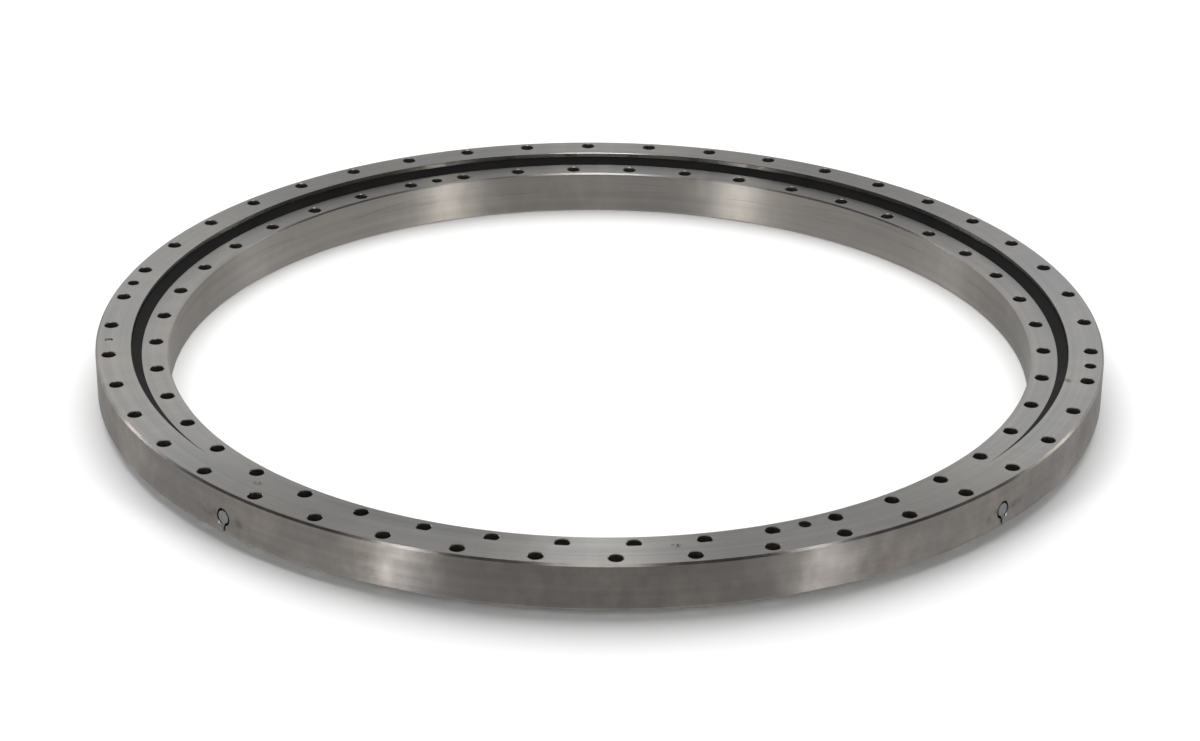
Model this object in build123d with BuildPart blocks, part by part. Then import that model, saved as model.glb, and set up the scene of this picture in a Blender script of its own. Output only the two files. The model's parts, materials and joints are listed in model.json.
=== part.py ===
"""Slewing ring bearing: an ungeared, four-point-contact ball turntable with two bolted rings.

Frame: millimetres, +Z up along the axis of rotation, origin on that axis in the plane of the
inner ring's lower face. The section is point-symmetric about the ball centre: the outer ring
stands proud at the top and the inner ring stands proud at the bottom by the same step.
"""

from build123d import *

import os
from math import cos, floor, pi, radians, sin

# Overall sizes
BALL_CIRCLE = 944.0  # diameter of the circle through the ball centres
OUTER_WALL = 36.0  # ball circle to the outside diameter, measured along a radius
INNER_WALL = 36.0  # ball circle to the bore, measured along a radius
RING_HEIGHT = 45.5  # axial height of each ring
RING_STEP = 10.5  # how far one ring stands above the other
RING_GAP = 1.5  # radial gap between the two rings' lands
OUTSIDE_CHAMFER = 2.0
BORE_CHAMFER = 1.5
EDGE_BREAK = 0.4
OVERCUT = 1.0  # cutters run past the faces that they open

# Fixing holes
BOLT_COUNT = 44
BOLT_OFFSET = 23.0  # each bolt circle lies this far from the ball circle
BOLT_HOLE = 14.0  # clearance for M12
BOLT_MOUTH = 0.6  # chamfer at each end of a fixing hole
OUTER_PHASE = 1.87  # degrees from +X to the outer ring's first hole
INNER_PHASE = 4.14  # degrees from +X to the inner ring's first hole

# Tapped lifting holes, half-way between fixing holes
LIFT_HOLE = 10.2  # core of an M12 thread
LIFT_MOUTH = 1.0
LIFT_DEPTH = 25.0
OUTER_LIFT_STEPS = (20.5, 42.5)  # places round the ring, in bolt pitches
INNER_LIFT_STEPS = (13.5, 35.5)

# Balls and the spacers between them
BALL_DIAMETER = 20.0
RACEWAY_CLEARANCE = 0.35  # ball to raceway at each of the four contact directions
RACEWAY_OPENING = 0.6  # raceway radius less ball radius
CONTACT_ANGLE = 45.0
SPACER_WEB = 4.6  # least spacer thickness between two balls
SPACER_UNDERSIZE = 3.0  # spacer diameter is smaller than the ball's by this
SPACER_LIP = 3.0  # how far a spacer's rim reaches past its web on each side
SPACER_SEAT_GAP = 0.1  # ball to spacer
SPACER_HOLE = 4.0
BALL_PHASE = -0.65  # degrees from +X to the first ball at rest
SET_COUNT = 12  # balls and spacers are grouped in this many equal sectors

# Seals
SEAT_WIDTH = 8.75
SEAT_DEPTH = 4.0
FOOT_INSET = 1.0  # from the seat's wall to the anchoring groove
FOOT_WIDTH = 2.5
FOOT_DEPTH = 2.0
SEAL_FIT = 0.05  # seal to its seat
SEAL_SET_BACK = 0.5  # seal body behind the land
LIP_DROP = 4.5  # lip edge below the taller ring's face
LIP_THICKNESS = 1.2
LIP_ROOT = 3.0  # height of the seal body where the lip leaves it
LIP_CLEARANCE = 0.3  # lip edge to the wall that it runs against

# Filling plug and its taper pin
PLUG_ALLOWANCE = 1.0  # plug hole is larger than a ball by this
PLUG_FIT = 0.05  # plug to its hole, along a radius
PLUG_STEP = 22.5  # place round the outer ring, in bolt pitches
PIN_DIAMETER = 8.0  # at its thick end
PIN_TAPER = 1 / 50
PIN_RECESS = 1.5  # pin end below the ring's face
PIN_FIT = 0.05
PIN_EMBED = 1.5  # pin tip beyond the plug's underside
PIN_MOUTH = 0.3
PIN_END_CHAMFER = 0.4
PULLER_HOLE = 6.8  # core of the M8 thread that draws the plug out
PULLER_DEPTH = 7.0
PULLER_MOUTH = 0.6

# Grease ports
PORT_COUNT = 4
PORT_ANGLE = 45.6  # degrees from the outer ring's first hole to the first port
PORT_RECESS = 17.0
PORT_DEPTH = 12.0
PORT_MOUTH = 1.0
PORT_BORE = 10.0  # takes the nipple's thread
PORT_BORE_DEPTH = 9.0
PORT_CHANNEL = 5.0  # leads into the raceway
NIPPLE_HEX = 11.0
NIPPLE_HEX_HEIGHT = 4.0
NIPPLE_SHANK_FIT = 0.1
NIPPLE_SHANK_LENGTH = 7.0
NIPPLE_NECK = 4.8
NIPPLE_NECK_HEIGHT = 2.2
NIPPLE_HEAD = 6.5
NIPPLE_HEAD_HEIGHT = 3.4
NIPPLE_TIP = 4.4
NIPPLE_ORIFICE = 2.0
CAP_DIAMETER = 13.0
CAP_THICKNESS = 1.6
CAP_SINK = 0.6  # cap face below the ring's outside surface
CAP_SKIRT_WALL = 1.2
CAP_FIT = 0.3  # skirt and roof to the nipple's head
CAP_EDGE = 0.5
TAB_WIDTH = 4.0
TAB_THICKNESS = 1.2
TAB_REACH = 14.0  # from the port's axis to the tab's end
TAB_CLEARANCE = 0.3  # tab to the ring's outside surface

# Derived sizes
ball_radius = BALL_DIAMETER / 2
circle_radius = BALL_CIRCLE / 2
ball_height = (RING_HEIGHT + RING_STEP) / 2
tall_side = ball_height  # ball centre to the face that stands proud
short_side = RING_HEIGHT - ball_height
outside_radius = circle_radius + OUTER_WALL
outer_bolt_radius = circle_radius + BOLT_OFFSET
inner_bolt_radius = circle_radius - BOLT_OFFSET
bolt_pitch = 360 / BOLT_COUNT
land = RING_GAP / 2
ball_count = SET_COUNT * floor(pi * BALL_CIRCLE / (BALL_DIAMETER + SPACER_WEB) / SET_COUNT)
ball_pitch = 360 / ball_count
set_size = ball_count // SET_COUNT
plug_radius = (BALL_DIAMETER + PLUG_ALLOWANCE) / 2
plug_angle = OUTER_PHASE + PLUG_STEP * bolt_pitch
pin_length = tall_side - PIN_RECESS + plug_radius + PIN_EMBED
pin_tip_radius = PIN_DIAMETER / 2 - pin_length * PIN_TAPER / 2
nipple_seat = outside_radius - PORT_DEPTH


def ring_outline(side, wall, chamfer):
    """Corner points of a ring's section, without its raceway.

    side is 1 for the outer ring and -1 for the inner ring, which is the same section turned
    half round about the ball centre.
    """
    seat_wall = land + SEAT_WIDTH
    seat_floor = SEAT_DEPTH - short_side
    foot_start = seat_wall - FOOT_INSET
    foot_end = foot_start - FOOT_WIDTH
    corners = [
        (land + EDGE_BREAK, tall_side),
        (wall - chamfer, tall_side),
        (wall, tall_side - chamfer),
        (wall, chamfer - short_side),
        (wall - chamfer, -short_side),
        (seat_wall, -short_side),
        (seat_wall, seat_floor),
        (foot_start, seat_floor),
        (foot_start, seat_floor + FOOT_DEPTH),
        (foot_end, seat_floor + FOOT_DEPTH),
        (foot_end, seat_floor),
        (land, seat_floor),
        (land, tall_side - EDGE_BREAK),
    ]
    return [(circle_radius + side * x, ball_height + side * z) for x, z in corners]


def ring_section(side, wall, chamfer):
    """Section of a ring in the XZ plane, with its pointed-arch raceway for four contacts."""
    shift = RACEWAY_OPENING - RACEWAY_CLEARANCE
    arc_radius = ball_radius + RACEWAY_OPENING
    arc_x = circle_radius - side * shift * cos(radians(CONTACT_ANGLE))
    arc_rise = shift * sin(radians(CONTACT_ANGLE))
    with BuildSketch(Plane.XZ) as raceway:
        with Locations((arc_x, ball_height - arc_rise)):
            Circle(arc_radius)
        with Locations((arc_x, ball_height + arc_rise)):
            Circle(arc_radius, mode=Mode.INTERSECT)
    with BuildSketch(Plane.XZ) as section:
        with BuildLine():
            Polyline(*ring_outline(side, wall, chamfer), close=True)
        make_face()
        add(raceway.sketch_local, mode=Mode.SUBTRACT)
    return section.sketch


def turned(points):
    """Solid made by turning a closed outline, given as (radius, height), about the Z axis."""
    with BuildPart() as blank:
        with BuildSketch(Plane.XZ):
            with BuildLine():
                Polyline(*points, close=True)
            make_face()
        revolve(axis=Axis.Z)
    return blank.part


def turned_radially(points):
    """Solid made by turning an outline, given as (distance from the ring's axis, radius), about X."""
    with BuildPart() as blank:
        with BuildSketch(Plane.XY):
            with BuildLine():
                Polyline(*points, close=True)
            make_face()
        revolve(axis=Axis.X)
    return blank.part


def through_hole_cutter():
    """Fixing hole right through a ring, chamfered at both ends, standing on Z = 0."""
    radius = BOLT_HOLE / 2
    flare = radius + BOLT_MOUTH + OVERCUT
    return turned(
        [
            (0, -OVERCUT),
            (flare, -OVERCUT),
            (radius, BOLT_MOUTH),
            (radius, RING_HEIGHT - BOLT_MOUTH),
            (flare, RING_HEIGHT + OVERCUT),
            (0, RING_HEIGHT + OVERCUT),
        ]
    )


def blind_hole_cutter(diameter, depth, mouth):
    """Drilled hole below Z = 0, with a chamfered mouth and a drill's cone at the bottom."""
    radius = diameter / 2
    cone = radius / 2
    return turned(
        [
            (0, OVERCUT),
            (radius + mouth + OVERCUT, OVERCUT),
            (radius, -mouth),
            (radius, -depth),
            (0, -depth - cone),
        ]
    )


def port_cutter():
    """Stepped radial opening of a grease port: recess, threaded bore and channel to the raceway."""
    recess = PORT_RECESS / 2
    bore_end = nipple_seat - PORT_BORE_DEPTH
    return turned_radially(
        [
            (circle_radius, 0),
            (circle_radius, PORT_CHANNEL / 2),
            (bore_end, PORT_CHANNEL / 2),
            (bore_end, PORT_BORE / 2),
            (nipple_seat, PORT_BORE / 2),
            (nipple_seat, recess),
            (outside_radius - PORT_MOUTH, recess),
            (outside_radius + OVERCUT, recess + PORT_MOUTH + OVERCUT),
            (outside_radius + OVERCUT, 0),
        ]
    )


def plug_bar(radius):
    """Round bar along +X through the outer ring's wall, level with the balls."""
    with BuildPart() as bar:
        with BuildSketch(Plane.YZ.offset(circle_radius)):
            with Locations((0, ball_height)):
                Circle(radius)
        extrude(amount=OUTER_WALL + OVERCUT)
    return bar.part


def pin_blank(clearance):
    """Taper pin, or with a clearance its hole up to the ring's face, standing at the bolt circle."""
    foot = ball_height - plug_radius - PIN_EMBED - clearance
    top = ball_height + tall_side + OVERCUT if clearance else ball_height + tall_side - PIN_RECESS
    height = top - foot
    tip = pin_tip_radius + clearance
    with BuildPart() as pin:
        with Locations((outer_bolt_radius, 0, foot)):
            Cone(tip, tip + height * PIN_TAPER / 2, height, align=(Align.CENTER, Align.CENTER, Align.MIN))
        if not clearance:
            chamfer(pin.edges().filter_by(GeomType.CIRCLE), PIN_END_CHAMFER)
    return pin.part


def puller_cutter():
    """Blind radial hole in the plug's outer end for the thread that draws it out."""
    radius = PULLER_HOLE / 2
    mouth = radius + PULLER_MOUTH + OVERCUT
    end = outside_radius - PULLER_DEPTH
    return turned_radially(
        [
            (end, 0),
            (end, radius),
            (outside_radius - PULLER_MOUTH, radius),
            (outside_radius + OVERCUT, mouth),
            (outside_radius + OVERCUT, 0),
        ]
    )


def lift_angles(steps, phase):
    """Angles of the tapped lifting holes, in degrees from +X."""
    return [phase + step * bolt_pitch for step in steps]


def make_outer_ring():
    """Outer ring with fixing holes, lifting holes, grease ports and the filling hole."""
    lift_cutter = blind_hole_cutter(LIFT_HOLE, LIFT_DEPTH, LIFT_MOUTH)
    ring_top = ball_height + tall_side
    with BuildPart() as outer_ring:
        with BuildSketch(Plane.XZ):
            add(ring_section(1, OUTER_WALL, OUTSIDE_CHAMFER))
        revolve(axis=Axis.Z)
        with Locations((0, 0, RING_STEP)):
            with PolarLocations(outer_bolt_radius, BOLT_COUNT, OUTER_PHASE):
                add(through_hole_cutter(), mode=Mode.SUBTRACT)
        for angle in lift_angles(OUTER_LIFT_STEPS, OUTER_PHASE):
            with Locations((0, 0, ring_top)):
                with PolarLocations(outer_bolt_radius, 1, angle):
                    add(lift_cutter, mode=Mode.SUBTRACT)
        with Locations((0, 0, ball_height)):
            with PolarLocations(0, PORT_COUNT, OUTER_PHASE + PORT_ANGLE):
                add(port_cutter(), mode=Mode.SUBTRACT)
        with PolarLocations(0, 1, plug_angle):
            add(plug_bar(plug_radius + PLUG_FIT), mode=Mode.SUBTRACT)
            add(pin_blank(PIN_FIT), mode=Mode.SUBTRACT)
        with Locations((0, 0, ring_top)):
            with PolarLocations(outer_bolt_radius, 1, plug_angle):
                add(blind_hole_cutter(PIN_DIAMETER, PIN_RECESS, PIN_MOUTH), mode=Mode.SUBTRACT)
    return outer_ring.part


def make_inner_ring():
    """Inner ring with fixing holes and lifting holes."""
    lift_cutter = blind_hole_cutter(LIFT_HOLE, LIFT_DEPTH, LIFT_MOUTH)
    with BuildPart() as inner_ring:
        with BuildSketch(Plane.XZ):
            add(ring_section(-1, INNER_WALL, BORE_CHAMFER))
        revolve(axis=Axis.Z)
        with PolarLocations(inner_bolt_radius, BOLT_COUNT, INNER_PHASE):
            add(through_hole_cutter(), mode=Mode.SUBTRACT)
        for angle in lift_angles(INNER_LIFT_STEPS, INNER_PHASE):
            with Locations((0, 0, RING_HEIGHT)):
                with PolarLocations(inner_bolt_radius, 1, angle):
                    add(lift_cutter, mode=Mode.SUBTRACT)
    return inner_ring.part


def make_seal(side):
    """Lip seal. side is 1 for the upper seal, held in the inner ring, and -1 for the lower one."""
    seat_wall = SEAL_FIT - land - SEAT_WIDTH
    seat_floor = short_side - SEAT_DEPTH + SEAL_FIT
    foot_start = seat_wall + FOOT_INSET
    foot_end = foot_start + FOOT_WIDTH - 2 * SEAL_FIT
    back = -land - SEAL_SET_BACK
    lip_edge = land - LIP_CLEARANCE
    lip_top = tall_side - LIP_DROP
    corners = [
        (seat_wall, seat_floor),
        (foot_start, seat_floor),
        (foot_start, seat_floor - FOOT_DEPTH),
        (foot_end, seat_floor - FOOT_DEPTH),
        (foot_end, seat_floor),
        (back, seat_floor),
        (back, seat_floor + LIP_ROOT),
        (lip_edge, lip_top - LIP_THICKNESS),
        (lip_edge, lip_top),
        (seat_wall, short_side),
    ]
    return turned([(circle_radius + side * x, ball_height + side * z) for x, z in corners])


def make_filling_plug():
    """Plug that closes the filling hole. Its inner end carries the raceway on and its outer end
    lies flush with the ring's outside surface."""
    with BuildPart() as filling_plug:
        with BuildSketch(Plane.XZ):
            add(ring_section(1, OUTER_WALL, OUTSIDE_CHAMFER))
        revolve(axis=Axis.Z)
        add(plug_bar(plug_radius), mode=Mode.INTERSECT)
        add(pin_blank(PIN_FIT), mode=Mode.SUBTRACT)
        with Locations((0, 0, ball_height)):
            add(puller_cutter(), mode=Mode.SUBTRACT)
    return filling_plug.part


def make_nipple():
    """Grease nipple on the +X axis: threaded shank, hexagon, neck and coupling head."""
    shank = PORT_BORE / 2 - NIPPLE_SHANK_FIT
    hex_top = nipple_seat + NIPPLE_HEX_HEIGHT
    neck_top = hex_top + NIPPLE_NECK_HEIGHT
    tip = neck_top + NIPPLE_HEAD_HEIGHT
    orifice = NIPPLE_ORIFICE / 2
    stem = turned_radially(
        [
            (nipple_seat - NIPPLE_SHANK_LENGTH, orifice),
            (nipple_seat - NIPPLE_SHANK_LENGTH, shank - EDGE_BREAK),
            (nipple_seat - NIPPLE_SHANK_LENGTH + EDGE_BREAK, shank),
            (nipple_seat, shank),
            (hex_top, shank),
            (hex_top, NIPPLE_NECK / 2),
            (neck_top, NIPPLE_NECK / 2),
            (neck_top + NIPPLE_HEAD_HEIGHT / 4, NIPPLE_HEAD / 2),
            (neck_top + NIPPLE_HEAD_HEIGHT / 2, NIPPLE_HEAD / 2),
            (tip, NIPPLE_TIP / 2),
            (tip, orifice),
        ]
    )
    with BuildPart() as nipple:
        with BuildSketch(Plane.YZ.offset(nipple_seat)):
            RegularPolygon(NIPPLE_HEX / 2, 6, major_radius=False)
            Circle(orifice, mode=Mode.SUBTRACT)
        extrude(amount=NIPPLE_HEX_HEIGHT)
        add(stem)
    return nipple.part


def make_cap():
    """Push-on cap on the +X axis: a disc with a skirt round the nipple's head and a pull tab."""
    face = outside_radius - CAP_SINK
    roof = face - CAP_THICKNESS
    head_top = nipple_seat + NIPPLE_HEX_HEIGHT + NIPPLE_NECK_HEIGHT
    skirt_inner = NIPPLE_HEAD / 2 + CAP_FIT
    skirt_outer = skirt_inner + CAP_SKIRT_WALL
    disc = turned_radially(
        [
            (roof, 0),
            (roof, skirt_inner),
            (head_top, skirt_inner),
            (head_top, skirt_outer),
            (roof, skirt_outer),
            (roof, CAP_DIAMETER / 2),
            (face - CAP_EDGE, CAP_DIAMETER / 2),
            (face, CAP_DIAMETER / 2 - CAP_EDGE),
            (face, 0),
        ]
    )
    tab_back = outside_radius + TAB_CLEARANCE
    rim = PORT_RECESS / 2 + PORT_MOUTH
    with BuildPart() as cap:
        with BuildSketch(Plane.XZ):
            with BuildLine():
                Polyline(
                    (face - TAB_THICKNESS, -CAP_DIAMETER / 2 + CAP_EDGE),
                    (face, -CAP_DIAMETER / 2 + 2 * CAP_EDGE),
                    (tab_back + TAB_THICKNESS, -rim),
                    (tab_back + TAB_THICKNESS, -TAB_REACH),
                    (tab_back, -TAB_REACH),
                    (tab_back, -rim),
                    (face - TAB_THICKNESS, -CAP_DIAMETER / 2),
                    close=True,
                )
            make_face()
        extrude(amount=TAB_WIDTH / 2, both=True)
        add(disc)
    return cap.part


def port_copy(blank, number):
    """A port's piece, made on the +X axis, turned to its place in the outer ring."""
    with BuildPart() as placed:
        with Locations((0, 0, ball_height)):
            with PolarLocations(0, 1, OUTER_PHASE + PORT_ANGLE + number * 360 / PORT_COUNT):
                add(blank)
    return placed.part


def make_ball_set(number):
    """One sector of balls, each a separate solid."""
    start = BALL_PHASE + number * set_size * ball_pitch
    with BuildPart() as ball_set:
        with Locations((0, 0, ball_height)):
            with PolarLocations(circle_radius, set_size, start, set_size * ball_pitch):
                Sphere(ball_radius)
    return ball_set.part


def make_spacer():
    """Spacer between two balls, with a hollow seat for each, lying across the +X axis."""
    half_step = radians(ball_pitch / 2)
    reach = circle_radius * sin(half_step)  # spacer's middle to either ball centre
    web = 2 * (reach - ball_radius)
    with BuildPart() as spacer:
        with Locations((circle_radius * cos(half_step), 0, 0)):
            Cylinder(
                ball_radius - SPACER_UNDERSIZE / 2,
                web + 2 * SPACER_LIP,
                rotation=(90, 0, 0),
            )
            Cylinder(SPACER_HOLE / 2, web + 2 * SPACER_LIP, rotation=(90, 0, 0), mode=Mode.SUBTRACT)
        with PolarLocations(circle_radius, 2, -ball_pitch / 2, 2 * ball_pitch):
            Sphere(ball_radius + SPACER_SEAT_GAP, mode=Mode.SUBTRACT)
    return spacer.part


def make_spacer_set(number):
    """One sector of spacers, each a separate solid."""
    start = BALL_PHASE + (number * set_size + 0.5) * ball_pitch
    with BuildPart() as spacer_set:
        with Locations((0, 0, ball_height)):
            with PolarLocations(0, set_size, start, set_size * ball_pitch):
                add(make_spacer())
    return spacer_set.part


def turned_to_plug(blank):
    """A piece made on the +X axis, turned to the filling plug's place."""
    with BuildPart() as placed:
        with PolarLocations(0, 1, plug_angle):
            add(blank)
    return placed.part


def all_pieces():
    """Every piece of the bearing by its node name."""
    pieces = {
        "outer_ring": make_outer_ring(),
        "inner_ring": make_inner_ring(),
        "upper_seal": make_seal(1),
        "lower_seal": make_seal(-1),
        "filling_plug": turned_to_plug(make_filling_plug()),
        "filling_plug_pin": turned_to_plug(pin_blank(0)),
    }
    nipple = make_nipple()
    cap = make_cap()
    for number in range(PORT_COUNT):
        pieces[f"grease_nipple_{number + 1}"] = port_copy(nipple, number)
        pieces[f"nipple_cap_{number + 1}"] = port_copy(cap, number)
    for number in range(SET_COUNT):
        pieces[f"ball_set_{number + 1:02d}"] = make_ball_set(number)
        pieces[f"spacer_set_{number + 1:02d}"] = make_spacer_set(number)
    return pieces


os.makedirs("parts", exist_ok=True)
for node, piece in all_pieces().items():
    piece.label = node
    export_step(piece, f"parts/{node}.step")
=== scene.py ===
"""Looks of a slewing ring bearing: turned steel rings, rubber seals, grease ports and a studio.

Every length is in metres, in the row frame: +Z is the axis of rotation and Z = 0 is the inner
ring's lower face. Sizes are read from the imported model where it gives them.
"""

from __future__ import annotations

import json
import logging
import math
from dataclasses import dataclass, field
from enum import Enum
from functools import reduce

import bmesh
import bpy
import numpy as np
from mathutils import Matrix, Vector

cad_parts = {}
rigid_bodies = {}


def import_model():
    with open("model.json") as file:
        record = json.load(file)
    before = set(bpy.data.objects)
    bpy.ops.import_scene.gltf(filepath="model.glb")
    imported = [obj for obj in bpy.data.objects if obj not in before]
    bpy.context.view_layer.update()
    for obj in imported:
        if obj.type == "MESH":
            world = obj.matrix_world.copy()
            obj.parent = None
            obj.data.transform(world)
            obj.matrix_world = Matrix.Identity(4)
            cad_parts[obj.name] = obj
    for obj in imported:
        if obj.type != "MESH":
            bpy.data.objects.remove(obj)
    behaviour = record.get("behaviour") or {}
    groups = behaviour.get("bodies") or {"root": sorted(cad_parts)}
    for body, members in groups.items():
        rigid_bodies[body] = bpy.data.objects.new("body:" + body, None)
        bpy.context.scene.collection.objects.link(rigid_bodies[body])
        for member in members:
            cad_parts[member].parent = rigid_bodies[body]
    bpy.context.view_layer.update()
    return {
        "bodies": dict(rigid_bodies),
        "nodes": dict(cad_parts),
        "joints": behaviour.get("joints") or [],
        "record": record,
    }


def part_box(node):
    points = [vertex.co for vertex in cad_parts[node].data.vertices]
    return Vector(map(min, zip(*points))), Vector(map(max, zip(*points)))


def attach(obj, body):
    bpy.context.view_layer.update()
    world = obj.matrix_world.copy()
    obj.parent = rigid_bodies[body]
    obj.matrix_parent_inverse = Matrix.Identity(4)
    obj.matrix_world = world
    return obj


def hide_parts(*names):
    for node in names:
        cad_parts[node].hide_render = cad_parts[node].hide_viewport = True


LOG = logging.getLogger("slewing_ring")
MM = 0.001
WELD_DISTANCE = 2e-6
SHARP_EDGE = math.radians(24)
WARM = (1.03, 1.0, 0.955)
COOL = (0.985, 1.0, 1.02)

Colour = tuple[float, float, float]
Material = bpy.types.Material
Object = bpy.types.Object
Socket = bpy.types.NodeSocket


# ----------------------------------------------------------------------------- choices


class Zone(Enum):
    """Kinds of machined surface on a ring, in the order of its material slots."""

    FACE = 0
    WALL = 1
    RACEWAY = 2
    DRILLED = 3
    LAND = 4
    TAPPED = 5


class Place(Enum):
    """What a half-pitch stretch of a ring's face holds."""

    FIXING = "fixing"
    LIFTING = "lifting"
    PIN = "pin"
    BLANK = "blank"


# ----------------------------------------------------------------------------- surfaces


def turn(points: np.ndarray, angles: np.ndarray) -> np.ndarray:
    """Carries points round the Z axis.

    Args:
        points: (..., 2 or 3) points as (radial, [tangential,] height) at angle zero.
        angles: (...) or (k,) angles in radians, broadcast against the points' leading axes.

    Returns:
        (..., 3) points: x and y turned by the angle, height kept.
    """
    radial = points[..., 0]
    tangential = points[..., 1] if points.shape[-1] == 3 else np.zeros_like(radial)
    height = points[..., -1] + 0.0 * angles
    cosine, sine = np.cos(angles), np.sin(angles)
    return np.stack(
        [radial * cosine - tangential * sine, radial * sine + tangential * cosine, height], -1
    )


def lathe(profile: np.ndarray, angles: np.ndarray) -> np.ndarray:
    """Grid of a profile of (radius, height) points turned through every angle.

    Args:
        profile: (rows, 2) points.
        angles: (columns,) angles in radians.

    Returns:
        (rows, columns, 3) points.
    """
    return turn(profile[:, None, :], angles[None, :])


def arc(
    centre: tuple[float, float], radius: float, start: float, end: float, steps: int
) -> np.ndarray:
    """Points of a circular arc, ends included.

    Args:
        centre: The arc's centre.
        radius: The arc's radius.
        start: First angle in radians.
        end: Last angle in radians.
        steps: Number of chords.

    Returns:
        (steps + 1, 2) points: centre + radius (cos a, sin a).
    """
    a = np.linspace(start, end, steps + 1)
    return np.array(centre) + radius * np.stack([np.cos(a), np.sin(a)], -1)


def round_corners(points: np.ndarray, radius: float, steps: int = 3) -> np.ndarray:
    """Rounds every corner of a closed outline with a curve tangent to both its sides.

    Each corner P becomes the quadratic curve (1-t)^2 A + 2t(1-t) P + t^2 B, where A and B lie on
    the two sides at the radius from P, or at a third of a shorter side.

    Args:
        points: (n, 2) corners in order.
        radius: Length taken from each side.
        steps: Chords of each rounded corner.

    Returns:
        (n * (steps + 1), 2) points.
    """
    before, after = np.roll(points, 1, 0) - points, np.roll(points, -1, 0) - points
    reach = [np.linalg.norm(v, axis=1, keepdims=True) for v in (before, after)]
    start = points + before * np.minimum(radius / reach[0], 1 / 3)
    end = points + after * np.minimum(radius / reach[1], 1 / 3)
    t = np.linspace(0, 1, steps + 1)[None, :, None]
    curve = (1 - t) ** 2 * start[:, None] + 2 * t * (1 - t) * points[:, None] + t**2 * end[:, None]
    return curve.reshape(-1, 2)


@dataclass
class Shell:
    """Patches of one closed surface, collected as grids and welded into a mesh."""

    points: list[np.ndarray] = field(default_factory=list)
    quads: list[np.ndarray] = field(default_factory=list)
    zones: list[np.ndarray] = field(default_factory=list)
    count: int = 0

    def grid(self, grid: np.ndarray, closed: bool = False, zone: int = 0) -> None:
        """Adds the quads of one grid, or of a stack of grids of the same shape.

        Args:
            grid: (rows, columns, 3) or (k, rows, columns, 3) points.
            closed: True if the last column joins the first.
            zone: Material slot of the patch.
        """
        stack = grid.reshape((-1, *grid.shape[-3:]))
        k, rows, columns, _ = stack.shape
        index = np.arange(k * rows * columns).reshape(k, rows, columns) + self.count
        if closed:
            index = np.concatenate([index, index[:, :, :1]], 2)
        quads = np.stack(
            [index[:, :-1, :-1], index[:, :-1, 1:], index[:, 1:, 1:], index[:, 1:, :-1]], -1
        ).reshape(-1, 4)
        self.points.append(stack.reshape(-1, 3))
        self.quads.append(quads)
        self.zones.append(np.full(len(quads), zone))
        self.count += k * rows * columns

    def without(self, mask: np.ndarray) -> None:
        """Drops the quads of the last patch where the mask is true.

        Args:
            mask: One boolean for each quad of the last patch.
        """
        self.quads[-1] = self.quads[-1][~mask]
        self.zones[-1] = self.zones[-1][~mask]

    def make(self, name: str, materials: list[Material]) -> Object:
        """Welds the patches, turns every face outwards and marks sharp edges.

        Args:
            name: The object's name.
            materials: One for each zone that the patches use.

        Returns:
            The object, at the origin.
        """
        points, quads = np.concatenate(self.points), np.concatenate(self.quads)
        mesh = bpy.data.meshes.new(name)
        mesh.vertices.add(len(points))
        mesh.vertices.foreach_set("co", points.astype(np.float32).ravel())
        mesh.loops.add(quads.size)
        mesh.loops.foreach_set("vertex_index", quads.astype(np.int32).ravel())
        mesh.polygons.add(len(quads))
        mesh.polygons.foreach_set("loop_start", np.arange(0, quads.size, 4, dtype=np.int32))
        for material in materials:
            mesh.materials.append(material)
        mesh.polygons.foreach_set("material_index", np.concatenate(self.zones).astype(np.int32))
        mesh.update(calc_edges=True)
        bm = bmesh.new()
        bm.from_mesh(mesh)
        bmesh.ops.remove_doubles(bm, verts=bm.verts, dist=WELD_DISTANCE)
        bmesh.ops.dissolve_degenerate(bm, edges=bm.edges, dist=WELD_DISTANCE / 2)
        bmesh.ops.recalc_face_normals(bm, faces=bm.faces)
        open_edges = sum(not e.is_manifold for e in bm.edges)
        bm.to_mesh(mesh)
        bm.free()
        mesh.shade_smooth()
        mesh.set_sharp_from_angle(angle=SHARP_EDGE)
        made = bpy.data.objects.new(name, mesh)
        bpy.context.scene.collection.objects.link(made)
        LOG.info("%s: %d faces, %d open edges", name, len(mesh.polygons), open_edges)
        return made


@dataclass(frozen=True)
class Tile:
    """A four-sided patch round a hole. Its rim is walked once, from one corner back to it."""

    across: int = 8
    up: int = 8
    steps: int = 3

    def rim(self) -> np.ndarray:
        """(n, 2) points round the unit square from -1 to 1, evenly spaced along each side."""
        u = np.linspace(-1, 1, self.across + 1)[:-1]
        v = np.linspace(-1, 1, self.up + 1)[:-1]
        low, high = -np.ones(self.across), np.ones(self.up)
        sides = [(u, low), (high, v), (-u, -low), (-high, -v)]
        return np.concatenate([np.stack(side, -1) for side in sides])

    def rows(self, edge: np.ndarray, hole: np.ndarray) -> np.ndarray:
        """Straight rows from the hole's points to the rim's: H + (E - H) t.

        Args:
            edge: (n, 2) rim points in the patch's plane.
            hole: (n, 2) points round the hole.

        Returns:
            (steps + 1, n, 2) points, hole first.
        """
        t = np.linspace(0, 1, self.steps + 1)[:, None, None]
        return hole + (edge - hole) * t


def circle(centre: tuple[float, float], radius: float, angles: np.ndarray) -> np.ndarray:
    """(n, 2) points of a circle at the given angles: centre + radius (cos, sin)."""
    return np.array(centre) + np.stack([radius * np.cos(angles), radius * np.sin(angles)], -1)


# ----------------------------------------------------------------------------- shader nodes


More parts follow.
